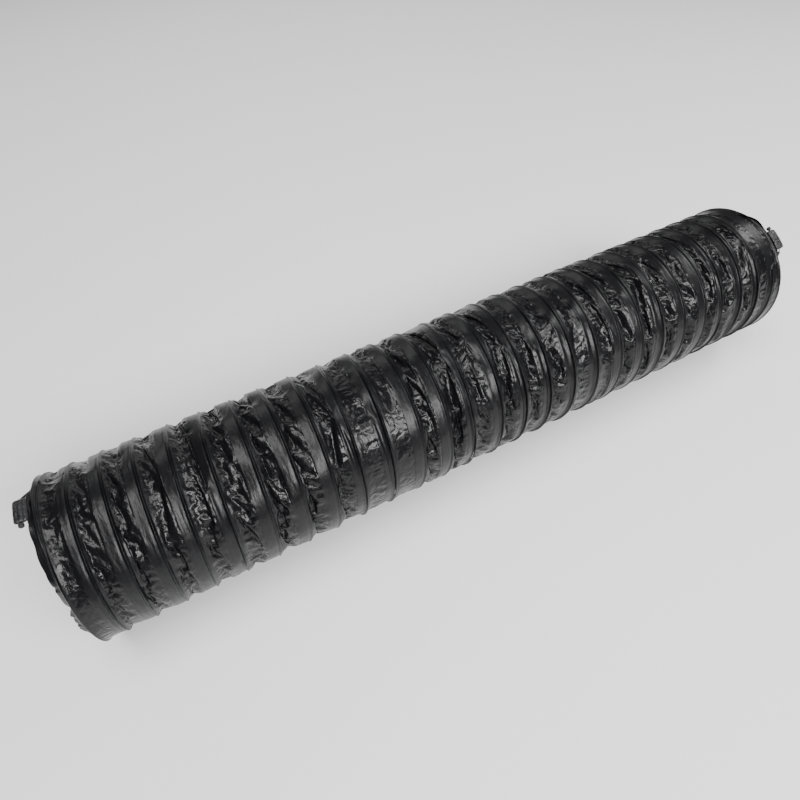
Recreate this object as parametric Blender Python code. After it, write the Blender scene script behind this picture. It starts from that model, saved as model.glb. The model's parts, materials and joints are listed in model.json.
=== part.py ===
"""Flexible air duct, 200 mm bore class: a spring-steel wire helix that holds open a tube of
spirally wound PVC film.

The duct lies along X on the plane z = 0, with the origin under its middle. It is made of
turns. Each turn is one wire coil and the band of film to its left, from its own wire back
to just inside the turn before, so that the bands lie in each other like cups: they slide
when the duct is drawn out or pushed together, and tilt when it is bent. One span in three
between the turns tilts about an upright axis, and the others slide along the duct.
"""
import math

import bpy
import numpy as np

MM = 0.001

# Wire helix. It is left-handed: seen along +X it turns anticlockwise as it goes away.
TURNS = 27
COIL_RADIUS = 99.0 * MM          # duct axis to the centre of the wire
WIRE_RADIUS = 1.0 * MM
START_ANGLE = 120.0              # where each turn starts: 0 is the -Y side, 90 the top
COIL_ANGLE = 357.0               # how far a coil runs, which leaves a slit before the next one
LAST_COIL_ANGLE = 280.0          # the last coil leaves early for its tail

# Spacing of the turns at rest
PITCH = 38.2 * MM
END_CLOSING = 0.30               # the outermost turns sit this much closer
CLOSING_FADE = 1.1               # turns over which that fades out
UNEVENNESS = 0.05                # hand-drawn-out duct: the spacing wanders by this share

# Film bands
FILM_WALL = 0.8 * MM
FILM_SLOPE = 0.125               # how fast a band narrows away from its wire
FILM_TUCK = 11.0 * MM            # how far a band reaches inside the one before
FILM_LIP = 1.2 * MM              # how far a band passes its own wire
END_CUFF = 12.0 * MM             # plain film beyond the outermost coils

# Taped tails of the wire at the two ends
LEAD_ANGLE = 13.0                # the wire runs out over the cuff within this angle
TAPE_ANGLE = 18.0
TAPE_WIDTH = 12.0 * MM
TAPE_THICKNESS = 5.0 * MM
TAPE_RIBS = 3                    # wire strands that show through the tape
CAP_ANGLE = 3.0
CAP_WIDTH = 6.0 * MM

# Clearances
GAP = 0.3 * MM                   # between pieces that touch
TAIL_GAP = 0.4 * MM              # between the cuff's rim and the tape
TAPE_ENTRY = 0.8 * MM            # between the wire's slanting end and the tape around its tail

# Facets
COLUMNS = 24
WIRE_SIDES = 5
LEAD_STEPS = 5
TAPE_STEPS = 6

# Fits that follow
COIL_OUTER_RADIUS = COIL_RADIUS + WIRE_RADIUS
AXIS_HEIGHT = COIL_OUTER_RADIUS
FILM_RADIUS = COIL_RADIUS - WIRE_RADIUS - GAP
ROOT_TURN = (TURNS + 1) // 2
BENDING_SPAN = 3                 # one span in this many bends
PIVOT_SHARE = 0.20               # its pivot is this share of a turn back from the next turn


def rest_pitch(turn):
    """Axial length of one turn at rest: closer at both ends, a little uneven between."""
    from_end = min(turn - 1, TURNS - turn)
    closing = END_CLOSING * math.exp(-from_end / CLOSING_FADE)
    wander = UNEVENNESS * math.sin(2.4 * turn) * math.cos(0.9 * turn)
    return PITCH * (1.0 - closing + wander)


PITCHES = [rest_pitch(turn) for turn in range(1, TURNS + 1)]
DUCT_LENGTH = 2.0 * END_CUFF + sum(PITCHES)
DUCT_START = -DUCT_LENGTH / 2.0
DUCT_END = DUCT_LENGTH / 2.0


def turn_start(turn):
    """X of the place where a turn begins; turn TURNS + 1 gives the end of the last one."""
    return DUCT_START + END_CUFF + sum(PITCHES[:turn - 1])


def coil_x(turn, angle):
    """X of a coil after it has run through an angle; before the first turn, the same slope."""
    pitch = PITCHES[max(turn, 1) - 1]
    start = turn_start(turn) if turn >= 1 else turn_start(1) - pitch
    return start + pitch * angle / 360.0


def outward(angle):
    """Unit vector away from the duct's axis, at an angle counted from the turns' start."""
    turned = math.radians(START_ANGLE + angle)
    return np.array([0.0, -math.cos(turned), math.sin(turned)])


def on_duct(x, radius, angle):
    """A point at this X, radius and angle."""
    return np.array([x, 0.0, AXIS_HEIGHT]) + radius * outward(angle)


def principled(name, colour, roughness, metallic=0.0):
    """A plain material of one colour."""
    material = bpy.data.materials.new(name)
    material.use_nodes = True
    shader = material.node_tree.nodes["Principled BSDF"]
    shader.inputs["Base Color"].default_value = (*colour, 1.0)
    shader.inputs["Roughness"].default_value = roughness
    shader.inputs["Metallic"].default_value = metallic
    material.diffuse_color = (*colour, 1.0)
    return material


def add_piece(name, points, faces, material, body, sharp_angle=40.0):
    """A piece from world points, hung on its body's empty, with smooth round sides."""
    origin = np.array(body.matrix_world.translation)
    mesh = bpy.data.meshes.new(name)
    mesh.from_pydata([tuple(point - origin) for point in points], [], faces)
    mesh.validate()
    mesh.shade_smooth()
    mesh.set_sharp_from_angle(angle=math.radians(sharp_angle))
    mesh.materials.append(material)
    piece = bpy.data.objects.new(name, mesh)
    bpy.context.scene.collection.objects.link(piece)
    piece.parent = body
    return piece


def sweep(stations, outline):
    """Points and faces of a bar with the same outline at every station.

    A station is a centre and the two directions that the outline's coordinates run along;
    the first direction, then the second, then the way forward make a right-handed set.
    """
    count = len(outline)
    points = [centre + first * u + second * v for centre, first, second in stations for u, v in outline]
    faces = [tuple(range(count))[::-1]]
    for ring in range(len(stations) - 1):
        low = ring * count
        for corner in range(count):
            following = (corner + 1) % count
            faces.append((low + corner, low + following, low + count + following, low + count + corner))
    top = (len(stations) - 1) * count
    faces.append(tuple(range(top, top + count)))
    return points, faces


def stations_along(path, outward_directions):
    """Stations square to a path, with the outline's first direction pointing outwards."""
    path = np.array(path)
    forward = np.gradient(path, axis=0)
    forward /= np.linalg.norm(forward, axis=1)[:, None]
    stations = []
    for centre, ahead, out in zip(path, forward, outward_directions):
        side = np.cross(ahead, out)
        side /= np.linalg.norm(side)
        stations.append((centre, np.cross(side, ahead), side))
    return stations


def smooth(share):
    """0 to 1 with level ends."""
    return share * share * (3.0 - 2.0 * share)


def coil_angles(last):
    """Angles of a coil's columns: even steps up to where it stops."""
    step = 360.0 / COLUMNS
    return [step * index for index in range(math.ceil(last / step))] + [last]


def tail_centre(end):
    """X of the middle of a taped tail, beyond the cuff's rim."""
    beyond = TAIL_GAP + TAPE_WIDTH / 2.0
    return DUCT_START - beyond if end < 0 else DUCT_END + beyond


def coil_path(turn):
    """Points of one coil, with the run over the cuff to the tail on the outermost two."""
    last = LAST_COIL_ANGLE if turn == TURNS else COIL_ANGLE
    places = [(angle, coil_x(turn, angle)) for angle in coil_angles(last)]
    leads = [smooth(step / LEAD_STEPS) for step in range(1, LEAD_STEPS + 1)]
    turned = [LEAD_ANGLE * step / LEAD_STEPS for step in range(1, LEAD_STEPS + 1)]
    if turn == 1:
        start = places[0][1]
        out = [(-angle, start + (tail_centre(-1) - start) * lead) for angle, lead in zip(turned, leads)]
        places = out[::-1] + places
    if turn == TURNS:
        start = places[-1][1]
        places += [(last + angle, start + (tail_centre(1) - start) * lead) for angle, lead in zip(turned, leads)]
    return places


def make_coil(turn, material, body):
    """One turn of the wire."""
    places = coil_path(turn)
    path = [on_duct(x, COIL_RADIUS, angle) for angle, x in places]
    corners = [math.tau * corner / WIRE_SIDES for corner in range(WIRE_SIDES)]
    outline = [(WIRE_RADIUS * math.cos(corner), WIRE_RADIUS * math.sin(corner)) for corner in corners]
    points, faces = sweep(stations_along(path, [outward(angle) for angle, _ in places]), outline)
    return add_piece(f"wire_turn_{turn:02d}", points, faces, material, body)


def make_band(turn, material, body):
    """The film from one coil back to inside the turn before: a narrowing band, as a helix."""
    stations = []
    for angle in coil_angles(COIL_ANGLE):
        right = coil_x(turn, angle) + FILM_LIP
        left = coil_x(turn - 1, angle) - FILM_TUCK
        drop = FILM_SLOPE * (right - left)
        stations.append((angle, left, right, drop))
    points = []
    for angle, left, right, drop in stations:
        points.append(on_duct(left, FILM_RADIUS - drop, angle))
        points.append(on_duct(right, FILM_RADIUS, angle))
        points.append(on_duct(right, FILM_RADIUS - FILM_WALL, angle))
        points.append(on_duct(left, FILM_RADIUS - drop - FILM_WALL, angle))
    faces = [(3, 2, 1, 0)]
    for column in range(len(stations) - 1):
        low = column * 4
        for corner in range(4):
            following = (corner + 1) % 4
            faces.append((low + corner, low + following, low + 4 + following, low + 4 + corner))
    last = (len(stations) - 1) * 4
    faces.append((last, last + 1, last + 2, last + 3))
    return add_piece(f"film_band_{turn:02d}", points, faces, material, body)


def make_end_film(name, rim, level, edge, material, body):
    """The film at one end: a round cuff that widens into a wedge as far as the last coil.

    rim is the cut end's X, level the X where the cuff ends, and edge(angle) the X where the
    wedge ends. The wedge starts or ends at nothing, so its slit is one short step wide.
    """
    angles = coil_angles(COIL_ANGLE)
    outside, inside = FILM_RADIUS, FILM_RADIUS - FILM_WALL
    points = []
    for angle in angles:
        for x, radius in ((rim, outside), (level, outside), (edge(angle), outside),
                          (edge(angle), inside), (level, inside), (rim, inside)):
            points.append(on_duct(x, radius, angle))
    faces = []
    count = len(angles)
    for column in range(count):
        here, there = column * 6, (column + 1) % count * 6
        faces.append((here, there, there + 1, here + 1))
        faces.append((here + 4, there + 4, there + 5, here + 5))
        faces.append((here + 5, there + 5, there, here))
        if column < count - 1:
            faces.append((here + 1, there + 1, there + 2, here + 2))
            faces.append((here + 3, there + 3, there + 4, here + 4))
            faces.append((here + 2, there + 2, there + 3, here + 3))
        else:
            faces.append((here + 1, there + 1, there + 4, here + 4))
    for column, turned in ((0, 1), (count - 1, -1)):
        here = column * 6
        faces.append((here + 1, here + 2, here + 3, here + 4)[::turned])
    if rim < level:
        faces = [face[::-1] for face in faces]
    return add_piece(name, points, faces, material, body)


def tape_outline():
    """Outline of the taped strands: one low hump for each strand, above and below."""
    half = TAPE_WIDTH / 2.0
    steps = TAPE_RIBS * 4
    humps = []
    for step in range(steps + 1):
        along = -half + TAPE_WIDTH * step / steps
        hump = abs(math.sin(math.pi * TAPE_RIBS * step / steps))
        humps.append((along, TAPE_THICKNESS / 2.0 * (0.62 + 0.38 * hump)))
    upper = [(height, along) for along, height in humps]
    lower = [(-height, along) for along, height in humps[::-1]]
    return upper + lower


def tail_stations(end, first, last, steps):
    """Stations along a tail, between two angles."""
    angles = [first + (last - first) * step / steps for step in range(steps + 1)]
    path = [on_duct(tail_centre(end), COIL_RADIUS, angle) for angle in angles]
    return stations_along(path, [outward(angle) for angle in angles])


def make_tail(name, end, wire_end, material, cap_material, body):
    """The wire's end past the rim, doubled back and taped, with a cap on its tip."""
    away = -1.0 if end < 0 else 1.0
    first = wire_end + away * math.degrees(TAPE_ENTRY / COIL_RADIUS)
    last = first + away * TAPE_ANGLE
    points, faces = sweep(tail_stations(end, first, last, TAPE_STEPS), tape_outline())
    tape = add_piece(f"tail_tape_{name}", points, faces, material, body)
    corners = [math.tau * corner / 10 for corner in range(10)]
    rounded = [(CAP_WIDTH / 2.0 * math.cos(corner), CAP_WIDTH / 2.0 * math.sin(corner)) for corner in corners]
    first = last + away * math.degrees(GAP / COIL_RADIUS)
    points, faces = sweep(tail_stations(end, first, first + away * CAP_ANGLE, 2), rounded)
    cap = add_piece(f"tail_cap_{name}", points, faces, cap_material, body)
    return tape, cap


def span_joint(span):
    """Where the joint between two turns sits, on the duct's axis: a bend's pivot, or a slide."""
    back = PIVOT_SHARE if span % BENDING_SPAN == 0 else 0.0
    return np.array([turn_start(span + 1) - PITCHES[span - 1] * back, 0.0, AXIS_HEIGHT])


def make_bodies():
    """One empty for each turn, hung on the next one towards the middle of the duct."""
    bodies = {}
    order = [ROOT_TURN]
    for step in range(1, TURNS):
        order += [turn for turn in (ROOT_TURN - step, ROOT_TURN + step) if 1 <= turn <= TURNS]
    for turn in order:
        body = bpy.data.objects.new(f"turn_{turn:02d}", None)
        bpy.context.scene.collection.objects.link(body)
        place = np.array([0.0, 0.0, AXIS_HEIGHT])
        if turn > ROOT_TURN:
            body.parent = bodies[turn - 1]
            place = span_joint(turn - 1) - np.array(body.parent.matrix_world.translation)
        if turn < ROOT_TURN:
            body.parent = bodies[turn + 1]
            place = span_joint(turn) - np.array(body.parent.matrix_world.translation)
        body.location = place
        bpy.context.view_layer.update()
        bodies[turn] = body
    return bodies


def build():
    """The whole duct."""
    for old in list(bpy.data.objects):
        bpy.data.objects.remove(old, do_unlink=True)
    film = principled("black_pvc_film", (0.020, 0.020, 0.022), 0.32)
    wire = principled("spring_steel_wire", (0.42, 0.43, 0.45), 0.30, 1.0)
    tape = principled("black_adhesive_tape", (0.035, 0.035, 0.037), 0.45)
    cap = principled("black_tip_cap", (0.015, 0.015, 0.016), 0.50)
    bodies = make_bodies()
    for turn in range(1, TURNS + 1):
        make_coil(turn, wire, bodies[turn])
        if turn > 1:
            make_band(turn, film, bodies[turn])
    level = turn_start(1)
    make_end_film("film_start", DUCT_START, level, lambda angle: coil_x(1, angle) + GAP, film, bodies[1])
    beside = FILM_LIP + GAP
    level = turn_start(TURNS + 1) + beside + GAP
    make_end_film("film_end", DUCT_END, level, lambda angle: coil_x(TURNS, angle) + beside, film, bodies[TURNS])
    make_tail("start", -1, -LEAD_ANGLE, tape, cap, bodies[1])
    make_tail("end", 1, LAST_COIL_ANGLE + LEAD_ANGLE, tape, cap, bodies[TURNS])


build()
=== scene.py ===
# %% [markdown]
# # A flexible air duct
#
# A tube of glossy black PVC film, held open by a helix of spring wire. The film is cut a little
# too full for the wire, so between two turns of the wire it sags and crumples. That crumpling
# is what makes the duct look real, so most of this lesson is about it:
#
# 1. read the sizes and places from the CAD frame;
# 2. lay out the film as a grid of points and let it settle on the wire;
# 3. cut the film into one piece for each span;
# 4. make the wire, and the taped tails at the two ends;
# 5. mix the materials, light the scene and place the camera.

# %% Imports and the frame
import json
import math

import bpy
import numpy as np
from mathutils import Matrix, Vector

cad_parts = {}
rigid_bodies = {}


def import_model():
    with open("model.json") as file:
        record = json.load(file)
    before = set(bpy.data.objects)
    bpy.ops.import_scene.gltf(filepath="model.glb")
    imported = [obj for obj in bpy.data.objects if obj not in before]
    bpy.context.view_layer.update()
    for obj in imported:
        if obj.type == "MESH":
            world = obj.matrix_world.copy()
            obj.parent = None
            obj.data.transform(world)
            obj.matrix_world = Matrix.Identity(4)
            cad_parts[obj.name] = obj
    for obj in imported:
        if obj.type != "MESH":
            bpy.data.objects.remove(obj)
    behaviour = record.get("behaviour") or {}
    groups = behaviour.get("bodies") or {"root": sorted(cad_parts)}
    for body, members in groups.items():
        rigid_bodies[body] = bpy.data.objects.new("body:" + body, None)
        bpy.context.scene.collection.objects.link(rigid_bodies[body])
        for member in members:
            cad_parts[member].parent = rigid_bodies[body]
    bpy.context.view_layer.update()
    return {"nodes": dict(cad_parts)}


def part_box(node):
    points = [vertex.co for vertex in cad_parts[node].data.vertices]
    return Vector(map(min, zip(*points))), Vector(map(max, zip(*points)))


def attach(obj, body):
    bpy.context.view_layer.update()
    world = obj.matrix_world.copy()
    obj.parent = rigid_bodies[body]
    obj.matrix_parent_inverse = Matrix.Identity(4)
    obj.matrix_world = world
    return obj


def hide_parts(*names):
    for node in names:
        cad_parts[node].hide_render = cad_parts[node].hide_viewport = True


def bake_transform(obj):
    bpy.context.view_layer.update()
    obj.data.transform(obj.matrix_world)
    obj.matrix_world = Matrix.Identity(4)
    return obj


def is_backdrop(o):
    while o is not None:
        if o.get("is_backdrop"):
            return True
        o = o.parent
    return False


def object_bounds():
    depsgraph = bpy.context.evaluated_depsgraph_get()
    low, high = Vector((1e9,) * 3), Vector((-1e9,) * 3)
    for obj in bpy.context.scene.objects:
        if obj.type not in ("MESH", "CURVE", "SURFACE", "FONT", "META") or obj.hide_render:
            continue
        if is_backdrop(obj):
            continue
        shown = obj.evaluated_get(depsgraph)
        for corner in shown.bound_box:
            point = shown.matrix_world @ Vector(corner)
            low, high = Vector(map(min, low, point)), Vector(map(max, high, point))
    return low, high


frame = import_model()
MM = 0.001

# %% [markdown]
# ## Sizes from the frame
#
# The CAD has one wire node for each turn. A turn starts where its wire starts, so the lowest X
# of a wire's box, plus the wire's radius, gives the start of that turn. The film's two rims
# come from the boxes of the end films.
#
# Angles go round the duct's axis: 0 is the -Y side and 90 degrees is the top.

# %% Turns, radii and places
TURNS = len([name for name in frame["nodes"] if name.startswith("wire_turn_")])
CAD_WIRE_RADIUS = 1.0 * MM
CUFF = 12.0 * MM                 # plain film beyond the first and the last turn
START_ANGLE = 120.0              # where a turn of the wire starts, in degrees
LEAD_ANGLE = 13.5                # the wire leaves the helix this far before its tail

wire_low, wire_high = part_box(f"wire_turn_{TURNS // 2:02d}")
COIL_RADIUS = (wire_high.y - wire_low.y) / 2 - CAD_WIRE_RADIUS
AXIS_HEIGHT = (wire_high.z + wire_low.z) / 2
RIM_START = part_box("film_start")[0].x
RIM_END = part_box("film_end")[1].x
starts = [RIM_START + CUFF]
starts += [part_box(f"wire_turn_{turn:02d}")[0].x + CAD_WIRE_RADIUS for turn in range(2, TURNS + 1)]
starts += [RIM_END - CUFF]
STARTS = np.array(starts)
PITCHES = np.diff(STARTS)


def node_angles(name):
    """Lowest and highest angle round the duct's axis of a CAD node's points, in degrees."""
    points = np.array([vertex.co for vertex in frame["nodes"][name].data.vertices])
    angles = np.degrees(np.arctan2(points[:, 2] - AXIS_HEIGHT, -points[:, 1]))
    return angles.min(), angles.max()


LAST_RUN = (node_angles("tail_tape_end")[0] - LEAD_ANGLE - START_ANGLE) % 360 / 360
print(f"{TURNS} turns, coil radius {COIL_RADIUS / MM:.1f} mm, pitch {PITCHES.mean() / MM:.1f} mm")

# %% [markdown]
# ## The film as a grid
#
# The grid has two coordinates. `level` counts turns along the duct: level 3.25 is a quarter of
# the way from the start of turn 3 to the start of turn 4. `around` counts turns round the axis
# from the start angle. The wire is the slanting line where level - around is a whole number.
# So the fraction of level - around, the **phase**, tells where a point of the film lies between
# one turn of the wire (0) and the next (1).

# %% Grid helpers
WIRE_RADIUS = 0.7 * MM
FILM_RADIUS = COIL_RADIUS - 0.5 * MM
FILM_WALL = 0.8 * MM
SEAM_PHASE = 0.64                # from here to the next wire the film is doubled
FIRST_LEVEL = 0.5                # the level of each rim
LAST_LEVEL = TURNS + 1.5
HEM_START = RIM_START + 7.0 * MM  # at both rims the film is turned in over a hem
HEM_END = RIM_END - 5.0 * MM
AXIS = np.array([0, 0, AXIS_HEIGHT])


def smooth_step(low, high, value):
    """0 below low, 1 above high, and 3t^2 - 2t^3 between them."""
    t = np.clip((value - low) / (high - low), 0, 1)
    return t * t * (3 - 2 * t)


def grid_axes(rows_per_turn, columns):
    """Level of each row, as a column of numbers, and turn around of each column, as a row."""
    rows = int((LAST_LEVEL - FIRST_LEVEL) * rows_per_turn) + 1
    level = FIRST_LEVEL + np.arange(rows) / rows_per_turn
    return level[:, None], (np.arange(columns) / columns)[None, :]


def x_at(level):
    """X at a level: straight between turn starts, and half a turn makes a whole cuff."""
    whole = np.arange(1, TURNS + 2)
    x = np.interp(level, whole, STARTS)
    x = np.where(level < 1, STARTS[0] + (level - 1) * 2 * CUFF, x)
    return np.where(level > TURNS + 1, STARTS[-1] + (level - TURNS - 1) * 2 * CUFF, x)


def on_duct(x, radius, around):
    """Points at this X, at this radius from the axis, this many turns round; shape 3, ..."""
    angle = np.radians(START_ANGLE) + math.tau * around
    x, radius, angle = np.broadcast_arrays(x, radius, angle)
    return np.stack([x, -radius * np.cos(angle), AXIS_HEIGHT + radius * np.sin(angle)])


def waves(shape, cell, length, rng, stretch=1.0):
    """Random waves on the grid, of one typical length, with a standard deviation of 1.

    White noise is filtered by a ring of frequencies: exp(-((f * length - 1) / 0.45)^2).
    stretch makes the waves that much longer around the duct than along it.
    """
    noise = np.fft.rfft2(rng.standard_normal(shape))
    along = np.fft.fftfreq(shape[0], cell)[:, None]
    around = np.fft.rfftfreq(shape[1], cell)[None, :] * stretch
    ring = np.exp(-((np.hypot(along, around) * length - 1) / 0.45) ** 2)
    ring[0, 0] = 0
    field = np.fft.irfft2(noise * ring, s=shape)
    return field / field.std()


# %% [markdown]
# ## How full the film is
#
# A duct that has been drawn out by hand isn't even. Some turns are taut, and others are slack
# and make deep notches. `slackness` says how slack it is at each level. The film's
# **profile** between two turns has three parts: right after the wire it drops into a notch, then
# the single film climbs out again, and the doubled seam runs gently up to the next wire. At
# both ends there is a shallower notch between the wire and the hem, and past the hem the cut
# film is turned in. It stays out only beside the wire's taped tail, where it makes a tongue.

# %% Slackness and the profile between two turns
PILLOW = 1.7 * MM                # how far the seam stands out past the wire's radius
NOTCH_DEPTH = 8.0 * MM
HEM_DIP = 4.5 * MM               # depth of the notch beside a hem, where there's room for it
FULL_BAND = 30 * MM
TAUT = [(0.60, 2.5, 2.4), (0.55, 10.3, 1.8), (0.50, 18.4, 0.7), (0.60, 27.6, 0.9)]


def slackness(level):
    """Share of the full notch depth: 1 less size * exp(-((level - centre) / width)^2).

    TAUT gives size, centre and width of each taut stretch.
    """
    taut = sum(size * np.exp(-(((level - centre) / width) ** 2)) for size, centre, width in TAUT)
    return np.clip(1.0 - taut, 0.2, 1.0)


def wire_phase(level, around):
    """Phase from 0 to 1 between two turns, and 1 where there is wire on both sides, else 0."""
    run = level - around
    inside = smooth_step(0.97, 1.03, run) * (1 - smooth_step(TURNS - 0.03, TURNS + 0.03, run))
    past_last = smooth_step(LAST_RUN - 0.02, LAST_RUN + 0.02, around)
    past_last = past_last * smooth_step(TURNS - 1.03, TURNS - 0.97, run)
    return run % 1.0, inside * (1 - past_last)


TAIL_START = (sum(node_angles("tail_tape_start")) / 2 - START_ANGLE) / 360
TAIL_END = (sum(node_angles("tail_tape_end")) / 2 - START_ANGLE) / 360


def away_from(around, place):
    """0 within 0.03 turns of a tail, where the film lies flat, and 1 from 0.08 turns on."""
    gap = np.abs((around - place + 0.5) % 1.0 - 0.5)
    return smooth_step(0.03, 0.08, gap)


def end_band(level, around):
    """Width of the band between hem and wire, share of the way across, distance past the hem."""
    x = x_at(level)
    far = level > TURNS / 2
    first_wire = x_at(1 + around)
    last_wire = x_at(TURNS + np.where(around < LAST_RUN, around, around - 1))
    left = np.where(far, last_wire, HEM_START)
    right = np.where(far, HEM_END, first_wire)
    past = np.maximum(np.maximum(HEM_START - x, x - HEM_END), 0)
    return right - left, np.clip((x - left) / (right - left), 0, 1), past


def profile_depth(level, around):
    """How far the film lies inside its wire radius before it crumples.

    Between two wires, with s(a, b) for smooth_step of the phase, it is the slackness times
    NOTCH_DEPTH * s(0, 0.22) * (1 - s(0.18, 0.64)), less PILLOW * s(0.45, 0.7) * (1 - s(0.85, 1)).
    At the ends it is a dip of the same form, and past the hem as deep as it is far past it.
    """
    phase, inside = wire_phase(level, around)
    drop = smooth_step(0.0, 0.22, phase)
    notch = NOTCH_DEPTH * (1 - smooth_step(0.18, 0.64, phase)) * slackness(level)
    pillow = PILLOW * smooth_step(0.45, 0.70, phase) * (1 - smooth_step(0.85, 1.0, phase))
    width, share, past = end_band(level, around)
    dip = HEM_DIP * np.clip(width / FULL_BAND, 0, 1)
    dip = dip * smooth_step(0.0, 0.3, share) * (1 - smooth_step(0.3, 0.9, share))
    turned_in = past * away_from(around, TAIL_START) * away_from(around, TAIL_END)
    return (drop * notch - pillow) * inside + (dip + turned_in) * (1 - inside)


# %% [markdown]
# ## Letting the film settle
#
# Every point of the grid is joined to its neighbours by threads of a fixed length. One round
# of relaxation moves each pair of points until the thread between them has its length again,
# and does so for all the threads in turn: along, around, and across both ways. A light pull
# towards the mean of the neighbours stands for the film's stiffness. The film is glued to
# the wire, so at the end of each round the points beside the wire are put back on it.
#
# Around the duct the threads are as long as the wire's turn. Where the film has sunk into a
# notch, there is less room than thread, and the film has to buckle: that is where the puckers
# come from. The last trick is to do this on a coarse grid first, then on finer ones.

# %% Relaxation
FLOOR = 0.3 * MM                 # the film lies on the floor, and no lower than this
TILT = 2.6 * MM                  # a turn leans this far forwards or back
CARRY = 0.9                      # share of its last move that a point carries on with
SHEAR = 0.35                     # the threads across are this much weaker


def turn_tilt(run_level, rng_seed=5):
    """X offset of the wire: TILT * lean * sin(turns - 1/2), with a random lean for each turn."""
    leans = np.random.default_rng(rng_seed).standard_normal(TURNS + 4)
    lean = np.interp(run_level, np.arange(-1, TURNS + 3), leans)
    return TILT * lean * np.sin(math.tau * (run_level - 0.5))


def settle_pair(a, b, rest, share):
    """Moves two sets of points towards the rest distance between them, by this share."""
    gap = b - a
    length = np.sqrt(np.einsum("kij,kij->ij", gap, gap)) + 1e-9
    step = (0.5 * share * (1 - rest / length)) * gap
    a += step
    b -= step


def wire_pins(level, around, rows_per_turn):
    """Two rows, a share and a point for each column on the wire, the hems and the tongues.

    A tongue is the stretch of a rim beside a tail: the film isn't turned in there.
    """
    columns = around.shape[1]
    turn = np.arange(1, TURNS + 1)[:, None]
    hems = np.interp([HEM_START, HEM_END], x_at(level)[:, 0], level[:, 0])[:, None]
    rims = np.array([[FIRST_LEVEL + 0.02], [LAST_LEVEL - 0.02]])
    tongues = np.concatenate([away_from(around, TAIL_START) == 0, away_from(around, TAIL_END) == 0])
    crossing = np.concatenate([turn + around, hems + 0 * around, rims + 0 * around])
    real = np.concatenate([(turn < TURNS) | (around < LAST_RUN), hems + 0 * around > 0, tongues])
    place = (crossing - level[0, 0]) * rows_per_turn
    below = np.floor(place).astype(int)
    share = place - below
    x = x_at(crossing) + turn_tilt(crossing)
    target = on_duct(x, FILM_RADIUS, around + 0 * crossing)
    column = np.broadcast_to(np.arange(columns)[None, :], below.shape)
    return below[real], column[real], share[real].astype(np.float32), target[:, real].astype(np.float32)


def relax(points, rest_along, rest_around, pins, stiffness, rows_per_turn, rounds):
    """Relaxes the film in place; points has shape 3, rows, columns."""
    rows = points.shape[1]
    even, odd = slice(0, rows - 1, 2), slice(1, rows - 1, 2)
    row, column, share, target = pins
    scale = 1 / (share**2 + (1 - share) ** 2)
    across = np.sqrt(rest_along**2 + rest_around[:-1] ** 2)
    plane_rows = np.arange(1, TURNS + 1) * rows_per_turn
    plane_x = x_at(np.arange(1, TURNS + 1) + 0.5)[:, None]
    before = points.copy()
    for _ in range(rounds):
        drift = (points - before) * CARRY
        np.copyto(before, points)
        points += drift
        for first in (even, odd):
            low = points[:, first]
            high = points[:, first.start + 1:first.stop + 1:2]
            settle_pair(low, high, rest_along[first], 1.0)
            for side in (-1, 1):
                turned = np.roll(high, side, axis=2)
                settle_pair(low, turned, across[first], SHEAR)
                high[:] = np.roll(turned, -side, axis=2)
        here, there = points[:, :, 0::2], points[:, :, 1::2]
        settle_pair(here, there, rest_around[:, 0::2], 1.0)
        following = np.roll(here, -1, axis=2)
        settle_pair(there, following, rest_around[:, 1::2], 1.0)
        here[:] = np.roll(following, 1, axis=2)
        bend = np.roll(points, 1, axis=2) + np.roll(points, -1, axis=2) - 2 * points
        bend[:, 1:-1] += points[:, 2:] + points[:, :-2] - 2 * points[:, 1:-1]
        points += stiffness * bend
        points[0, plane_rows] += 0.5 * (plane_x - points[0, plane_rows])
        np.maximum(points[2], FLOOR, out=points[2])
        missing = target - (1 - share) * points[:, row, column] - share * points[:, row + 1, column]
        missing *= scale
        points[:, row, column] += (1 - share) * missing
        points[:, row + 1, column] += share * missing
    points[0, plane_rows] = plane_x
    return points


def finer(points):
    """The same surface on a grid twice as fine both ways, by cubic midpoints."""
    before = 2 * points[:, :1] - points[:, 1:2]
    after = 2 * points[:, -1:] - points[:, -2:-1]
    padded = np.concatenate([before, points, after], axis=1)
    middle = (9 * (padded[:, 1:-2] + padded[:, 2:-1]) - padded[:, :-3] - padded[:, 3:]) / 16
    rows = np.empty((3, 2 * points.shape[1] - 1, points.shape[2]), points.dtype)
    rows[:, 0::2] = points
    rows[:, 1::2] = middle
    beside = np.roll(rows, -1, axis=2)
    middle = (9 * (rows + beside) - np.roll(rows, 1, axis=2) - np.roll(rows, -2, axis=2)) / 16
    return np.stack([rows, middle], axis=-1).reshape(3, rows.shape[1], -1)


# %% [markdown]
# Three grids, each twice as fine as the last. On the coarse ones the threads around are
# shortened where the film lies deep, so that no big folds use up the spare film. On the finest
# one they have their full length, and small random waves tell the puckers where to begin.

# %% Settling on three grids
# Rows in a turn, columns, rounds, and share of the depth by which the threads are shortened.
GRIDS = [(8, 128, 120, 0.55), (16, 256, 160, 0.35), (32, 512, 220, 0.0)]
SPARE_ALONG = 1.025              # film that the profile doesn't use up
# Height or share of each random wave, and its length.
UNEVEN_DEPTH, UNEVEN_LENGTH = 0.32, 60 * MM
BUCKLE, BUCKLE_LENGTH = 1.3 * MM, 28 * MM
SIDEWAYS, SIDEWAYS_LENGTH = 0.8 * MM, 30 * MM
RIPPLES = {16: (0.65 * MM, 22 * MM), 32: (0.45 * MM, 15 * MM)}   # by rows in a turn
FILM_STIFFNESS = 0.008
SEAM_STIFFNESS = 0.09            # what is added in the doubled seam,
CUFF_STIFFNESS = 0.004           # beyond the wire at both ends,
TAUT_STIFFNESS = 0.015           # and where the duct is drawn taut


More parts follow.
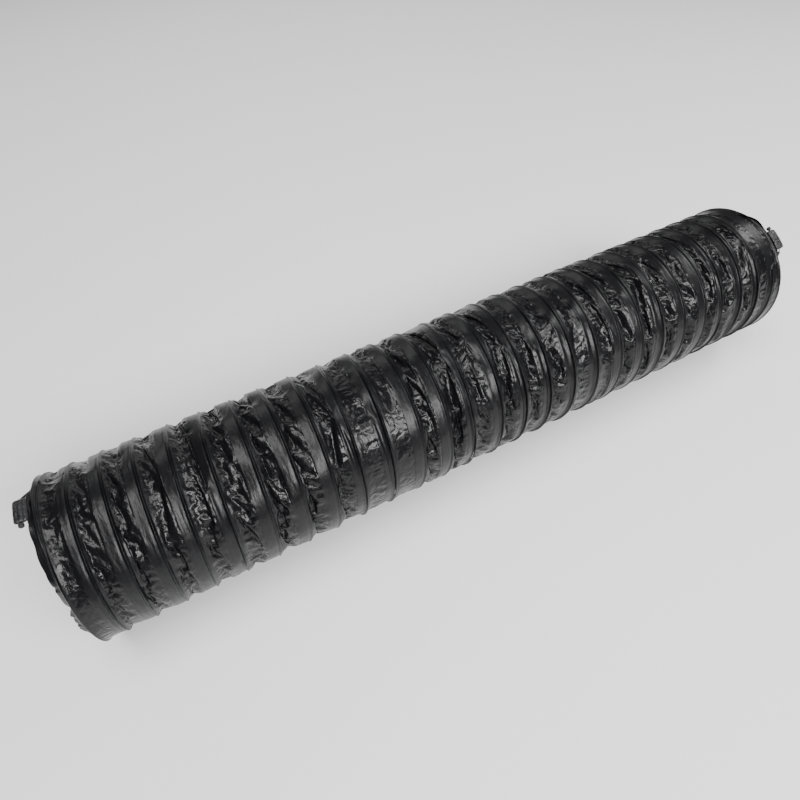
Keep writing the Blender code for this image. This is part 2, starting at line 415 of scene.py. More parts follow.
def settled_film():
    """The film's points after relaxation, with the axes of their grid."""
    rng = np.random.default_rng(11)
    points = None
    for rows_per_turn, columns, rounds, relief in GRIDS:
        level, around = grid_axes(rows_per_turn, columns)
        depth = profile_depth(level, around)
        cell = math.tau * COIL_RADIUS / columns
        x = x_at(level)
        rise = np.diff(depth, axis=0)
        run = np.diff(x, axis=0)
        along = np.sqrt(run**2 + rise**2) * SPARE_ALONG
        around_rest = math.tau * (FILM_RADIUS - relief * depth) / columns
        phase, inside = wire_phase(level, around)
        loose = np.maximum(np.sqrt(np.clip(depth, 0, None) / depth.max()), 0.6 * (1 - inside))
        if points is None:
            sag = depth * (1 + UNEVEN_DEPTH * waves(depth.shape, cell, UNEVEN_LENGTH, rng))
            sag += BUCKLE * loose * waves(depth.shape, cell, BUCKLE_LENGTH, rng)
            x = x + SIDEWAYS * loose * waves(depth.shape, cell, SIDEWAYS_LENGTH, rng)
            points = on_duct(x, FILM_RADIUS - sag, around)
        else:
            points = finer(points)
            size, length = RIPPLES[rows_per_turn]
            ripple = size * (0.25 + loose) * waves(depth.shape, cell, length, rng)
            ripple += 0.5 * size * (1 - loose) * waves(depth.shape, cell, length, rng, 4.0)
            points = points + on_duct(0, ripple, around) - AXIS[:, None, None]
        seam = inside * smooth_step(SEAM_PHASE - 0.02, SEAM_PHASE + 0.06, phase)
        stiffness = (FILM_STIFFNESS + SEAM_STIFFNESS * seam + CUFF_STIFFNESS * (1 - inside)
                     + TAUT_STIFFNESS * (1 - slackness(level)))
        pins = wire_pins(level, around, rows_per_turn)
        points, along, around_rest, stiffness = (
            values.astype(np.float32) for values in (points, along, around_rest, stiffness))
        points = relax(points, along, around_rest, pins, stiffness, rows_per_turn, rounds)
        print(f"grid of {points.shape[1]} by {points.shape[2]} settled in {rounds} rounds")
    return points.astype(float), level, around


relaxed, relaxed_level, AROUND = settled_film()
COLUMNS = AROUND.shape[1]

# %% [markdown]
# ## Rows that gather beside the wire
#
# The wire makes the sharpest line on the duct, and it slants across the rows. So the film is
# sampled once more, on rows that move towards the wire: the shift is
# -gather * s * exp(-(s / 0.1)^2), where s is the distance from the wire in turns. Before that,
# the kink that the glue line left in the film is smoothed, since the ridge takes its place.

# %% Final sampling
ROWS_PER_TURN = 40
GATHER = 0.55                    # how much closer the rows stand at the wire
KINK_WIDTH = 2.5 * MM


def wire_distance(level, around):
    """Signed distance from the nearest wire along the duct, and 1 where that wire is there."""
    run = level - around
    nearest = np.clip(np.round(run), 1, TURNS)
    pitch = PITCHES[nearest.astype(int) - 1]
    there = np.where((nearest == TURNS) & (around > LAST_RUN), 0.0, 1.0)
    return (run - nearest) * pitch, there


def unkinked(points, level, around):
    """The film with the narrow kink along the wire smoothed away."""
    distance, there = wire_distance(level, around)
    weight = np.exp(-((distance / KINK_WIDTH) ** 2)) * there
    smoothed = points.copy()
    for _ in range(3):
        smoothed[:, 1:-1] = (smoothed[:, :-2] + 2 * smoothed[:, 1:-1] + smoothed[:, 2:]) / 4
    return points + weight * (smoothed - points)


def gathered_levels():
    """Levels of the final rows at each column: closer together beside the wire."""
    span = np.arange(TURNS + 1)[:, None, None]
    share = (np.arange(ROWS_PER_TURN) / ROWS_PER_TURN)[None, :, None]
    from_wire = share - (AROUND[None] - 0.5) % 1.0
    window = smooth_step(0, 0.12, share) * smooth_step(1, 0.88, share)
    shift = GATHER * from_wire * np.exp(-((from_wire / 0.10) ** 2)) * window
    level = FIRST_LEVEL + span + share - shift
    return np.concatenate([level.reshape(-1, COLUMNS), np.full((1, COLUMNS), LAST_LEVEL)])


def sampled(points, level, rows_per_turn):
    """The film at these levels, column by column, by cubic interpolation between rows."""
    place = (level - FIRST_LEVEL) * rows_per_turn
    row = np.clip(np.floor(place).astype(int), 1, points.shape[1] - 3)
    t = place - row
    column = np.arange(COLUMNS)[None, :]
    a, b, c, d = (points[:, row + shift, column] for shift in (-1, 0, 1, 2))
    return b + 0.5 * t * (c - a + t * (2 * a - 5 * b + 4 * c - d + t * (3 * (b - c) + d - a)))


LEVEL = gathered_levels()
film = sampled(unkinked(relaxed, relaxed_level, AROUND), LEVEL, GRIDS[-1][0])
print(f"film sampled on {film.shape[1]} rows of {film.shape[2]} points")

# %% [markdown]
# ## The wire's ridge and the seam's edge
#
# The relaxed film passes over the wire as a smooth hill. A real one is drawn tightly over the
# wire, so a narrow ridge is added, height * exp(-(distance / width)^2), with a groove of the
# same form along both of its sides. A hem has the same ridge. The doubled seam begins with a
# small step up.

# %% Ridge, seam step and rims
RIDGE_HEIGHT = 1.2 * MM
RIDGE_WIDTH = 1.0 * MM
GROOVE_DEPTH = 0.6 * MM
GROOVE_PLACE = 2.3 * MM
SEAM_STEP = 0.4 * MM
RAGGED = 0.5 * MM                # how far the cut of a rim strays


def shaped_film(points):
    """The film with its ridges and seam steps, and with a slightly ragged cut at both rims."""
    rng = np.random.default_rng(23)
    distance, there = wire_distance(LEVEL, AROUND)
    ridge = RIDGE_HEIGHT * np.exp(-((distance / RIDGE_WIDTH) ** 2))
    groove = GROOVE_DEPTH * np.exp(-(((np.abs(distance) - GROOVE_PLACE) / RIDGE_WIDTH) ** 2))
    phase, inside = wire_phase(LEVEL, AROUND)
    seam = SEAM_STEP * inside * smooth_step(SEAM_PHASE - 0.02, SEAM_PHASE + 0.02, phase)
    seam = seam * smooth_step(1.0, 0.9, phase)
    from_hem = np.minimum(np.abs(x_at(LEVEL) - HEM_START), np.abs(x_at(LEVEL) - HEM_END))
    hem = RIDGE_HEIGHT * np.exp(-((from_hem / RIDGE_WIDTH) ** 2))
    lift = (ridge - groove) * there + seam + hem
    shaped = points + on_duct(0, lift, AROUND) - AXIS[:, None, None]
    ragged = RAGGED * waves((16, COLUMNS), 1.2 * MM, 30 * MM, rng)[0]
    cut = smooth_step(FIRST_LEVEL + 0.3, FIRST_LEVEL, LEVEL)
    cut = cut + smooth_step(LAST_LEVEL - 0.3, LAST_LEVEL, LEVEL)
    shaped[0] += cut * ragged[None, :]
    np.maximum(shaped[2], 0.0, out=shaped[2])
    return shaped


film = shaped_film(film)


def grid_normals(points):
    """Unit normals of a grid that closes round the duct: along x around, turned outwards."""
    along = np.gradient(points, axis=1)
    around = np.roll(points, -1, axis=2) - np.roll(points, 1, axis=2)
    normal = np.cross(along, around, axis=0)
    normal /= np.linalg.norm(normal, axis=0)
    middle = points - AXIS[:, None, None]
    outward = np.sign((normal[1:] * middle[1:]).sum(axis=(0, 1, 2)))
    return normal * outward


film_normals = grid_normals(film)
print(f"film from z {film[2].min() / MM:.1f} to {film[2].max() / MM:.1f} mm")

# %% [markdown]
# ## From grids to meshes
#
# One span of the film becomes one closed shell: the fine outer surface, an inner surface on a
# grid half as fine, and strips of triangles that join the two rims. All spans share the
# same normals along their common edge, so the shading shows no line there.

# %% Mesh building
def new_mesh(name, points, quads, triangles):
    """A mesh from arrays of points, quads and triangles, with smooth faces."""
    mesh = bpy.data.meshes.new(name)
    mesh.vertices.add(len(points))
    mesh.vertices.foreach_set("co", np.asarray(points, np.float32).ravel())
    corners = np.concatenate([quads.ravel(), triangles.ravel()]).astype(np.int32)
    triangle_starts = quads.size + np.arange(len(triangles)) * 3
    loop_starts = np.concatenate([np.arange(len(quads)) * 4, triangle_starts])
    mesh.loops.add(len(corners))
    mesh.loops.foreach_set("vertex_index", corners)
    mesh.polygons.add(len(loop_starts))
    mesh.polygons.foreach_set("loop_start", loop_starts.astype(np.int32))
    mesh.update(calc_edges=True)
    mesh.validate()
    mesh.polygons.foreach_set("use_smooth", np.ones(len(mesh.polygons), bool))
    return mesh


def new_object(mesh):
    """An object that shows a mesh, at the origin."""
    piece = bpy.data.objects.new(mesh.name, mesh)
    bpy.context.scene.collection.objects.link(piece)
    return piece


def ring_quads(rows, columns, first=0):
    """Quads of a grid of rows that closes around, with the point numbers from first on."""
    row = np.arange(rows - 1)[:, None] * columns
    column = np.arange(columns)[None, :]
    following = (column + 1) % columns
    next_row = row + columns
    quads = np.stack([row + column, row + following, next_row + following, next_row + column], axis=-1)
    return first + quads.reshape(-1, 4)


def rim_triangles(outer, inner):
    """Triangles between a fine ring and a ring with half as many points."""
    first, second, third = outer[0::2], outer[1::2], np.roll(outer[0::2], -1)
    near, far = inner, np.roll(inner, -1)
    return np.concatenate([np.stack([first, near, second], 1), np.stack([second, near, far], 1),
                           np.stack([second, far, third], 1)])


def set_attribute(mesh, name, kind, values):
    """A named value for each point of a mesh."""
    attribute = mesh.attributes.new(name, kind, "POINT")
    field = "vector" if kind == "FLOAT_VECTOR" else "value"
    attribute.data.foreach_set(field, np.asarray(values, np.float32).ravel())


def signed_volume(points, quads):
    """Sum over the faces of corner . (corner x corner) about the axis: above 0 if they face out."""
    a, b, c = (points[quads[:, corner]] - AXIS for corner in (0, 1, 2))
    normal = np.cross(b - a, c - a)
    return float((normal[:, 1:] * a[:, 1:]).sum())


# %% [markdown]
# ### What the film's material has to know
#
# The material needs the distance from the wire, and where the film is crumpled. The angle that
# grows by a full turn from one wire to the next goes in as a cosine and a sine, because they
# don't jump at the wire. `film_place` is where a point would lie if the film were pulled
# smooth, so that no pattern is stretched in a fold.

# %% Film attributes for the shader
wire_there = wire_distance(LEVEL, AROUND)[1]
between = wire_phase(LEVEL, AROUND)[1]
width, share = end_band(LEVEL, AROUND)[:2]
band = smooth_step(0.05, 0.2, share) * smooth_step(1.0, 0.8, share) * smooth_step(8 * MM, 16 * MM, width)
between = np.maximum(between, band)
turn_angle = math.tau * (LEVEL - AROUND)
row_steps = np.linalg.norm(np.diff(relaxed, axis=1), axis=0).mean(axis=1)
flat_length = np.concatenate([[0], np.cumsum(row_steps)])
developed = np.interp(LEVEL, relaxed_level[:, 0], flat_length)
film_place = on_duct(developed, COIL_RADIUS, AROUND)


def film_shell(name, first, last):
    """The closed shell of the film between two rows of the grid."""
    outer = film[:, first:last + 1]
    normals = film_normals[:, first:last + 1]
    inner = outer[:, ::2, ::2] - FILM_WALL * normals[:, ::2, ::2]
    rows, columns = outer.shape[1:]
    inner_rows, inner_columns = inner.shape[1:]
    count = rows * columns
    outer_quads = ring_quads(rows, columns)
    inner_quads = ring_quads(inner_rows, inner_columns, count)[:, ::-1]
    ring, inner_ring = np.arange(columns), count + np.arange(inner_columns)
    near = rim_triangles(ring, inner_ring)
    far = rim_triangles(ring + count - columns, inner_ring + (inner_rows - 1) * inner_columns)[:, ::-1]
    flat = [grid.reshape(3, -1).T for grid in (outer, inner)]
    points = np.concatenate(flat)
    quads = np.concatenate([outer_quads, inner_quads])
    triangles = np.concatenate([near, far])
    if signed_volume(points, outer_quads) < 0:
        quads, triangles = quads[:, ::-1], triangles[:, ::-1]
    mesh = new_mesh(name, points, quads, triangles)
    both = np.concatenate([normals.reshape(3, -1).T, -normals[:, ::2, ::2].reshape(3, -1).T])
    mesh.normals_split_custom_set_from_vertices(both)

    def on_points(values):
        values = np.broadcast_to(values, film.shape[1:])[first:last + 1]
        return np.concatenate([values.ravel(), values[::2, ::2].ravel()])
    set_attribute(mesh, "wire_cos", "FLOAT", on_points(np.cos(turn_angle)))
    set_attribute(mesh, "wire_sin", "FLOAT", on_points(np.sin(turn_angle)))
    set_attribute(mesh, "between", "FLOAT", on_points(between))
    set_attribute(mesh, "wire_there", "FLOAT", on_points(wire_there))
    places = np.stack([on_points(part) for part in film_place], axis=1)
    set_attribute(mesh, "film_place", "FLOAT_VECTOR", places)
    return new_object(mesh)


# %% [markdown]
# ## Cutting and riding
#
# The cuts are the planes half-way through each turn. A span from the middle of one turn to
# the middle of the next stays in place, with its transform baked in; the two end pieces ride
# on the first and the last turn.

# %% Film pieces
def body_name(turn):
    """The body that carries a turn."""
    return f"turn_{turn:02d}"


def place_piece(piece, turn):
    """Hangs an end piece on the first or the last turn's body, and bakes any other in place; turn 0 is
    before the first.
    """
    if turn == 0 or turn == TURNS:
        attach(piece, body_name(max(turn, 1)))
    else:
        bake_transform(piece)


def end_name(turn):
    """start for the piece before the first turn, end for the last, and else its number."""
    return "start" if turn == 0 else "end" if turn == TURNS else f"{turn:02d}"


film_pieces = []
for turn in range(TURNS + 1):
    first = turn * ROWS_PER_TURN
    piece = film_shell(f"crumpled_film_{end_name(turn)}", first, first + ROWS_PER_TURN)
    place_piece(piece, turn)
    inner_span = 0 < turn < TURNS
    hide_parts(f"film_band_{turn + 1:02d}" if inner_span else f"film_{end_name(turn)}")
    width = float(developed[first + ROWS_PER_TURN, 0] - developed[first, 0])
    film_pieces.append(piece)
triangles = sum(len(piece.data.loops) - 2 * len(piece.data.polygons) for piece in film_pieces)
print(f"{len(film_pieces)} film pieces, {triangles} triangles")

# %% [markdown]
# ## The wire
#
# A bar is swept along a path: at each step of the path stands a closed outline, given by how
# far it reaches outwards and sideways. The ends close to a point over their last few steps.

# %% Swept bars
def swept_bar(name, path, outward, outline, end_sizes):
    """A closed bar; path and outward have shape steps, 3, and outline has shape corners, 2.

    end_sizes scales the outline at each step, so that the ends can be rounded off.
    """
    forward = np.gradient(path, axis=0)
    forward /= np.linalg.norm(forward, axis=1)[:, None]
    side = np.cross(forward, outward)
    side /= np.linalg.norm(side, axis=1)[:, None]
    out = np.cross(side, forward)
    rings = path[:, None] + end_sizes[:, None, None] * (
        out[:, None] * outline[None, :, :1] + side[:, None] * outline[None, :, 1:])
    steps, corners = rings.shape[:2]
    points = np.concatenate([rings.reshape(-1, 3), path[:1], path[-1:]])
    quads = ring_quads(steps, corners)[:, ::-1]
    corner = np.arange(corners)
    following = (corner + 1) % corners
    first_cap = np.stack([corner, following, np.full(corners, steps * corners)], 1)
    last = (steps - 1) * corners
    last_cap = np.stack([last + following, last + corner, np.full(corners, steps * corners + 1)], 1)
    mesh = new_mesh(name, points, quads, np.concatenate([first_cap, last_cap]))
    return new_object(mesh)


def round_outline(radius, corners):
    """A circle's corners."""
    turn = math.tau * np.arange(corners) / corners
    return radius * np.stack([np.cos(turn), np.sin(turn)], axis=1)


def rounded_ends(steps, rounding):
    """Scale at each step: a quarter circle at both ends, given the length of each in steps."""
    from_end = np.minimum(np.arange(steps), np.arange(steps)[::-1])
    t = np.clip(from_end / rounding, 0, 1)
    return np.sqrt(np.clip(1 - (1 - t) ** 2, 0.01, 1))


WIRE_PATH_RADIUS = FILM_RADIUS - FILM_WALL - 0.5 * MM
STEPS_PER_TURN = 144


def tail_middle(end):
    """X of the middle of a taped tail."""
    low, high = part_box(f"tail_tape_{end}")
    return (low.x + high.x) / 2


def wire_path(first, last):
    """The wire's middle line between two levels; beyond its two ends it leads to the tails."""
    level = np.linspace(first, last, int(round((last - first) * STEPS_PER_TURN)) + 1)
    x = x_at(level) + turn_tilt(level)
    lead = LEAD_ANGLE / 360
    out_start = smooth_step(0, lead, 1 - level)
    out_end = smooth_step(0, lead, level - TURNS - LAST_RUN)
    wire_end = TURNS + LAST_RUN
    x = np.where(level < 1, x_at(1.0) + turn_tilt(1.0), x)
    x = np.where(level > wire_end, x_at(wire_end) + turn_tilt(wire_end), x)
    x = x + out_start * (tail_middle("start") - x) + out_end * (tail_middle("end") - x)
    radius = WIRE_PATH_RADIUS - 0.8 * MM * (out_start * (1 - out_start) + out_end * (1 - out_end)) * 4
    path = on_duct(x, radius, level).T
    return path, on_duct(0.0, 1.0, level).T - AXIS


wire_pieces = []
for turn in range(TURNS + 1):
    first = turn + 0.5 if turn else 1 - LEAD_ANGLE / 360
    last = turn + 1.5 if turn < TURNS else TURNS + LAST_RUN + LEAD_ANGLE / 360
    path, outward = wire_path(first, last)
    outline = round_outline(WIRE_RADIUS, 8)
    piece = swept_bar(f"spring_wire_{end_name(turn)}", path, outward, outline, np.ones(len(path)))
    place_piece(piece, turn)
    if turn:
        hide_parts(f"wire_turn_{turn:02d}")
    wire_pieces.append(piece)
print(f"{len(wire_pieces)} wire pieces")

# %% [markdown]
# ## The taped tails
#
# At each end the wire is doubled back on itself a few times and wound with tape, and its tip
# has a little rubber cap. The strands under the tape show as ribs.

# %% Tails
TAPE_LAP = 1.8 * MM              # the tape is wound over the rim of the film by this much
TAPE_THICKNESS = 5.0 * MM
STRANDS = 3                      # of wire under the tape
SLEEVE_RADIUS = 1.5 * MM
WINDING = 9 * MM                 # from one edge of the tape to the next
WINDING_STEP = 0.35 * MM
WINDING_SLANT = 0.35


def tape_outline(width, thickness, ribs):
    """A flat pad with one low hump for each strand, on both faces; its edges are rounded."""
    turn = math.tau * np.arange(96) / 96
    side = width / 2 * np.sin(turn)
    rounded = np.abs(np.cos(turn)) ** 0.55 * np.sign(np.cos(turn))
    hump = 0.80 + 0.20 * np.abs(np.cos(math.pi * ribs * side / width))
    return np.stack([thickness / 2 * rounded * hump, side], axis=1)


def arc_path(x, radius, first, last, steps):
    """A path round the duct's axis between two angles in degrees, and its outward directions."""
    around = (np.linspace(first, last, steps) - START_ANGLE) / 360
    path = on_duct(x, radius, around).T
    return path, on_duct(0.0, 1.0, around).T - AXIS


def wound_tape(piece, pitch, depth):
    """Presses the edges of the tape's windings into a pad: a saw-tooth along its length."""
    points = np.empty(len(piece.data.vertices) * 3, np.float32)
    piece.data.vertices.foreach_get("co", points)
    points = points.reshape(-1, 3)
    angle = np.arctan2(points[:, 2] - AXIS_HEIGHT, -points[:, 1])
    centre = points.mean(axis=0)
    slant = angle * COIL_RADIUS + WINDING_SLANT * (points[:, 0] - centre[0])
    tooth = (slant / pitch) % 1.0
    ring_radius = np.hypot(points[:, 1], points[:, 2] - AXIS_HEIGHT)
    inside = np.sign(ring_radius - np.median(ring_radius))
    step = depth * inside * (1 - tooth)
    points[:, 1] += step * -np.cos(angle)
    points[:, 2] += step * np.sin(angle)
    piece.data.vertices.foreach_set("co", points.ravel())
    piece.data.update()


def lead_sleeve(end):
    """The tape round the bare wire between the rim and the taped pad."""
    first = 1 - LEAD_ANGLE / 360 if end == "start" else TURNS + LAST_RUN
    last = 1.0 if end == "start" else TURNS + LAST_RUN + LEAD_ANGLE / 360
    path, outward = wire_path(first, last)
    outline = round_outline(SLEEVE_RADIUS, 16)
    return swept_bar(f"wound_tape_lead_{end}", path, outward, outline, rounded_ends(len(path), 2))


for end, body in (("start", 1), ("end", TURNS)):
    sleeve = lead_sleeve(end)
    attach(sleeve, body_name(body))
    node = f"tail_tape_{end}"
    low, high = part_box(node)
    first, last = node_angles(node)
    lap = TAPE_LAP if end == "start" else -TAPE_LAP
    path, outward = arc_path((low.x + high.x + lap) / 2, COIL_RADIUS, first, last, 73)
    outline = tape_outline(high.x - low.x + TAPE_LAP, TAPE_THICKNESS, STRANDS)
    tape = swept_bar(f"wound_tape_{end}", path, outward, outline, rounded_ends(73, 6))
    wound_tape(tape, WINDING, WINDING_STEP)
    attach(tape, body_name(body))
    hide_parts(node)
    node = f"tail_cap_{end}"
    low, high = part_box(node)
    first, last = node_angles(node)
    path, outward = arc_path((low.x + high.x) / 2, COIL_RADIUS, first, last, 25)
    outline = round_outline((high.x - low.x) / 2, 32)
    cap = swept_bar(f"rubber_cap_{end}", path, outward, outline, rounded_ends(25, 8))
    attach(cap, body_name(body))
    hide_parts(node)
print("two taped tails with caps")

# %% [markdown]
# ## Materials
#
# Each material starts as a Principled shader. `add_node` adds one node with its settings and
# links, so that a material reads from top to bottom. Settings that come up often have a name.

# %% Material helpers
TIMES = {"operation": "MULTIPLY"}
TIMES_PLUS = {"operation": "MULTIPLY_ADD"}
SMOOTH = {"interpolation_type": "SMOOTHSTEP"}
COLOURS = {"data_type": "RGBA"}


def linear(hex_colour):
    """A web colour such as #1a2b3c as linear light: ((c + 0.055) / 1.055)^2.4 above 0.04045."""
    values = [int(hex_colour[start:start + 2], 16) / 255 for start in (1, 3, 5)]
    return tuple(c / 12.92 if c <= 0.04045 else ((c + 0.055) / 1.055) ** 2.4 for c in values) + (1.0,)


def new_material(name):
    """An empty node material with a Principled shader."""
    material = bpy.data.materials.new(name)
    material.use_nodes = True
    return material, material.node_tree.nodes["Principled BSDF"]


def feed(material, socket, value):
    """Sets a socket to a constant, or links an output to it."""
    if isinstance(value, bpy.types.NodeSocket):
        material.node_tree.links.new(value, socket)
    else:
        socket.default_value = value


def add_node(material, kind, settings=None, out=0, **inputs):
    """Adds a shader node and gives back one of its outputs.

    settings are the node's own. An input is named, or is _0, _1... by its place, and its value
    is a constant or the output of another node.
    """
    node = material.node_tree.nodes.new("ShaderNode" + kind)
    for key, value in (settings or {}).items():
        setattr(node, key, value)
    for key, value in inputs.items():
        feed(material, node.inputs[int(key[1:]) if key[0] == "_" else key], value)
    return node.outputs[out]


# %% [markdown]
# ### PVC film
#
# Plasticised PVC film is glossy where it is pulled smooth and breaks up the light where it is
# creased. Several heights are added up and go into one bump: facets with sharp creases, which
# come from the distance to the edges of Voronoi cells 13 mm and 5.5 mm across; long drawn
# wrinkles, 4.5 mm apart along the duct; the line over the wire, and the edge of the seam. Where
# the film is doubled, the facets fade. Faint bloom varies its gloss. PVC's own IOR is 1.53,
# but a film that has been handled mirrors less, as if it were 1.37.

# %% Film material
PITCH = float(PITCHES.mean())
CELL_FACETS = 75.0               # Voronoi cells in a metre
SMALL_FACETS = 180.0
FACET_HEIGHT = 0.0013            # height of a facet, as a share of the cells' distance
SEAM_FACETS = 0.0003
DRAWN_HEIGHT = 0.0006            # metres, as are the two below
LINE_HEIGHT = 0.0008
SEAM_EDGE_HEIGHT = 0.0003


def film_material():
    """Glossy black plasticised PVC film."""
    material, shader = new_material("glossy_black_pvc_film")

    place = add_node(material, "Attribute", {"attribute_name": "film_place"}, out="Vector")
    wire_sin = add_node(material, "Attribute", {"attribute_name": "wire_sin"}, out="Fac")
    wire_cos = add_node(material, "Attribute", {"attribute_name": "wire_cos"}, out="Fac")
    between = add_node(material, "Attribute", {"attribute_name": "between"}, out="Fac")
    there = add_node(material, "Attribute", {"attribute_name": "wire_there"}, out="Fac")

    # Distance from the wire along the duct, and 1 where the film is single and crumples.
    angle = add_node(material, "Math", {"operation": "ARCTAN2"}, _0=wire_sin, _1=wire_cos)
    side = add_node(material, "Math", TIMES, _0=angle, _1=PITCH / math.tau)
    seam_edge = (SEAM_PHASE - 1) * PITCH
    past_wire = add_node(material, "MapRange", SMOOTH, _0=side, _1=3.0 * MM, _2=6.0 * MM)
    before_seam = add_node(material, "MapRange", SMOOTH, _0=side, _1=seam_edge - 0.6 * MM,
                           _2=seam_edge + 0.6 * MM, _3=1.0, _4=0.0)
    single = add_node(material, "Math", {"operation": "MAXIMUM"}, _0=past_wire, _1=before_seam)
    crumpled = add_node(material, "Math", TIMES, _0=single, _1=between)

    # Facets: two sizes of Voronoi cells, on places that are bent a little.
    wobble = add_node(material, "TexNoise", out="Color", Vector=place, Scale=110.0, Detail=2.0)
    bent = add_node(material, "VectorMath", TIMES_PLUS, _0=wobble, _1=(0.006, 0.006, 0.006), _2=place)
    to_edge = {"feature": "DISTANCE_TO_EDGE"}
    cells = add_node(material, "TexVoronoi", to_edge, out="Distance", Vector=bent, Scale=CELL_FACETS)
    small = add_node(material, "TexVoronoi", to_edge, out="Distance", Vector=bent, Scale=SMALL_FACETS)
    facets = add_node(material, "Math", TIMES_PLUS, _0=small, _1=0.10, _2=cells)
    strength = add_node(material, "Math", TIMES_PLUS, _0=crumpled, _1=FACET_HEIGHT, _2=SEAM_FACETS)
    height = add_node(material, "Math", TIMES, _0=facets, _1=strength)

    # Drawn wrinkles: noise that is short along the duct and long around it.
    stretched = add_node(material, "Mapping", Vector=place, Scale=(220.0, 60.0, 60.0))
    drawn = add_node(material, "TexNoise", out="Fac", Vector=stretched, Scale=1.0, Detail=3.0,
                     Distortion=0.6)
    height = add_node(material, "Math", TIMES_PLUS, _0=drawn, _1=DRAWN_HEIGHT, _2=height)

    # The line over the wire and the step of the seam.
    distance = add_node(material, "Math", {"operation": "ABSOLUTE"}, _0=side)
    line = add_node(material, "MapRange", SMOOTH, _0=distance, _1=0.0, _2=2.2 * MM, _3=1.0, _4=0.0)
    line = add_node(material, "Math", TIMES, _0=line, _1=there)
    height = add_node(material, "Math", TIMES_PLUS, _0=line, _1=LINE_HEIGHT, _2=height)
    seam = add_node(material, "Math", {"operation": "SUBTRACT"}, _0=1.0, _1=crumpled)
    height = add_node(material, "Math", TIMES_PLUS, _0=seam, _1=SEAM_EDGE_HEIGHT, _2=height)
    bump = add_node(material, "Bump", Height=height, Strength=1.0, Distance=1.0)

    bloom = add_node(material, "TexNoise", out="Fac", Vector=place, Scale=45.0, Detail=5.0,
                     Roughness=0.65)
    tone = add_node(material, "Mix", COLOURS, out=2, _0=bloom, _6=linear("#08080a"), _7=linear("#0f0f11"))
    gloss = add_node(material, "MapRange", SMOOTH, _0=bloom, _1=0.3, _2=0.75, _3=0.29, _4=0.40)
    gloss = add_node(material, "Math", TIMES_PLUS, _0=crumpled, _1=-0.08, _2=gloss)
    feed(material, shader.inputs["Base Color"], tone)
    feed(material, shader.inputs["Roughness"], gloss)
    feed(material, shader.inputs["IOR"], 1.37)
    feed(material, shader.inputs["Normal"], bump)
    return material


# %% [markdown]
# ### Wire, tape and caps
#
# The wire is drawn spring steel, bare inside the duct. The tape is satin PVC with fine wrinkles
# 2 mm apart, and the caps are matt rubber. Their grain is finer than the picture can show, so
# it is drawn at about half a millimetre.

# %% Wire, tape and cap materials
def wire_material():
    """Drawn spring steel: fine draw lines along the wire and a slightly mottled tone."""
    material, shader = new_material("drawn_spring_steel")
    place = add_node(material, "TexCoord", out="Object")
    mottle = add_node(material, "TexNoise", out="Fac", Vector=place, Scale=350.0, Detail=4.0)
    tone = add_node(material, "Mix", COLOURS, out=2, _0=mottle, _6=linear("#8d8f94"), _7=linear("#b4b6ba"))
    lines = add_node(material, "TexNoise", out="Fac", Vector=place, Scale=2500.0, Detail=2.0)
    bump = add_node(material, "Bump", Height=lines, Strength=0.3, Distance=0.0001)
    gloss = add_node(material, "MapRange", SMOOTH, _0=mottle, _1=0.3, _2=0.7, _3=0.24, _4=0.40)
    feed(material, shader.inputs["Base Color"], tone)
    feed(material, shader.inputs["Metallic"], 1.0)
    feed(material, shader.inputs["Roughness"], gloss)
    feed(material, shader.inputs["Normal"], bump)
    return material


def tape_material():
    """Satin PVC tape: fine wrinkles across it and a dull bloom from handling."""
    material, shader = new_material("satin_black_pvc_tape")
    place = add_node(material, "TexCoord", out="Object")
    bloom = add_node(material, "TexNoise", out="Fac", Vector=place, Scale=130.0, Detail=5.0)
    tone = add_node(material, "Mix", COLOURS, out=2, _0=bloom, _6=linear("#111112"), _7=linear("#232325"))
    wrinkles = add_node(material, "TexVoronoi", {"feature": "F1"}, out="Distance", Vector=place,
                        Scale=520.0)
    height = add_node(material, "Math", TIMES_PLUS, _0=bloom, _1=1.5, _2=wrinkles)
    bump = add_node(material, "Bump", Height=height, Strength=0.8, Distance=0.0005)
    gloss = add_node(material, "MapRange", SMOOTH, _0=bloom, _1=0.3, _2=0.7, _3=0.30, _4=0.46)
    feed(material, shader.inputs["Base Color"], tone)
    feed(material, shader.inputs["Roughness"], gloss)
    feed(material, shader.inputs["Normal"], bump)
    return material


def cap_material():
    """Matt black rubber with a fine grain and a trace of dust."""
    material, shader = new_material("matt_black_rubber")
    place = add_node(material, "TexCoord", out="Object")
    grain = add_node(material, "TexNoise", out="Fac", Vector=place, Scale=1800.0, Detail=3.0)
    dust = add_node(material, "TexNoise", out="Fac", Vector=place, Scale=260.0, Detail=4.0)
    tone = add_node(material, "Mix", COLOURS, out=2, _0=dust, _6=linear("#121213"), _7=linear("#202021"))
    bump = add_node(material, "Bump", Height=grain, Strength=0.5, Distance=0.0002)
    gloss = add_node(material, "MapRange", SMOOTH, _0=dust, _1=0.3, _2=0.7, _3=0.50, _4=0.68)
    feed(material, shader.inputs["Base Color"], tone)
    feed(material, shader.inputs["Roughness"], gloss)
    feed(material, shader.inputs["Normal"], bump)
    return material


# %% Giving each piece its material
finishes = {"crumpled_film": film_material(), "spring_wire": wire_material(),
            "wound_tape": tape_material(), "rubber_cap": cap_material()}
for piece in bpy.context.scene.objects:
    for start, material in finishes.items():
        if piece.name.startswith(start):
            piece.data.materials.append(material)
print(f"{len(finishes)} materials")

# %% [markdown]
# ## Stage, light and camera
#
# A pale floor that runs far out, and large soft lights. A black glossy thing shows nothing but
# what it mirrors: the front light draws the bright creases, the top and back lights give the
# upper side its sheen, and the floor lightens the lower side.

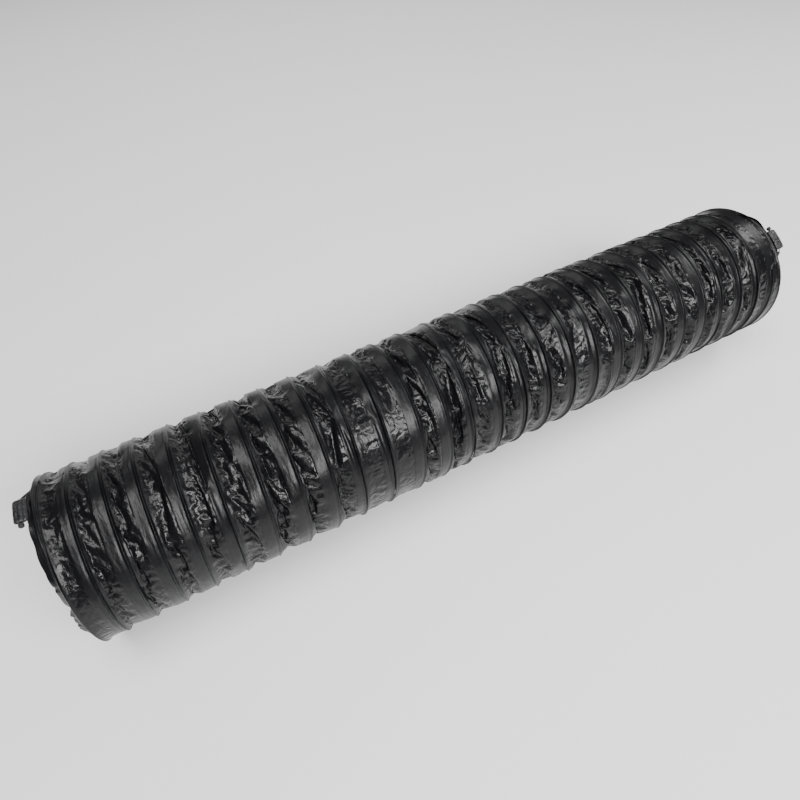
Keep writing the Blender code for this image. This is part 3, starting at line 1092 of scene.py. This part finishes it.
# %% Stage
def make_floor():
    """A pale matt floor, just under the duct."""
    corners = np.array([(-30, -30, 0), (30, -30, 0), (30, 30, 0), (-30, 30, 0)], float)
    floor = new_object(new_mesh("floor", corners, np.array([[0, 1, 2, 3]]), np.zeros((0, 3), int)))
    floor.location.z = -0.2 * MM
    material, shader = new_material("pale_floor")
    place = add_node(material, "TexCoord", out="Object")
    mottle = add_node(material, "TexNoise", out="Fac", Vector=place, Scale=3.0, Detail=3.0)
    tone = add_node(material, "Mix", COLOURS, out=2, _0=mottle, _6=linear("#f4f4f4"), _7=linear("#f7f7f7"))
    feed(material, shader.inputs["Base Color"], tone)
    feed(material, shader.inputs["Roughness"], 0.7)
    floor.data.materials.append(material)
    floor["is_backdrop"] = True


def soft_light(name, place, target, size, power):
    """A rectangular area light at a place, turned towards a target."""
    light = bpy.data.lights.new(name, "AREA")
    light.shape = "RECTANGLE"
    light.size, light.size_y = size
    light.energy = power
    lamp = bpy.data.objects.new(name, light)
    bpy.context.scene.collection.objects.link(lamp)
    lamp.location = place
    lamp.rotation_euler = (Vector(target) - Vector(place)).to_track_quat("-Z", "Y").to_euler()


make_floor()
middle = (0.0, 0.0, AXIS_HEIGHT)
soft_light("front_softbox", (0.4, -2.0, 1.95), middle, (2.0, 1.0), 105)
soft_light("top_softbox", (-0.6, -0.2, 2.6), middle, (1.8, 1.3), 60)
soft_light("back_softbox", (0.1, 2.0, 1.3), middle, (2.6, 1.0), 12)
soft_light("right_softbox", (2.1, 0.2, 1.4), middle, (0.8, 1.2), 18)
world = bpy.data.worlds.new("studio")
bpy.context.scene.world = world
world.use_nodes = True
world.node_tree.nodes["Background"].inputs["Color"].default_value = linear("#ffffff")
world.node_tree.nodes["Background"].inputs["Strength"].default_value = 0.14

# %% Camera
CAMERA_TURN = math.radians(28.9)     # from +Y towards +X
CAMERA_DOWN = math.radians(52.2)
camera = bpy.data.cameras.new("camera")
camera.lens = 27.03
camera.clip_start = 0.01
camera_object = bpy.data.objects.new("camera", camera)
bpy.context.scene.collection.objects.link(camera_object)
camera_object.location = (-0.3182, -0.4155, 0.7394)
level_part = math.cos(CAMERA_DOWN)
ahead = Vector((math.sin(CAMERA_TURN) * level_part, math.cos(CAMERA_TURN) * level_part,
                -math.sin(CAMERA_DOWN)))
camera_object.rotation_euler = ahead.to_track_quat("-Z", "Y").to_euler()
bpy.context.scene.camera = camera_object

# %% Sizes of what is drawn, and the end
low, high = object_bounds()
print(f"visual box {[round(v / MM, 1) for v in high - low]} mm")
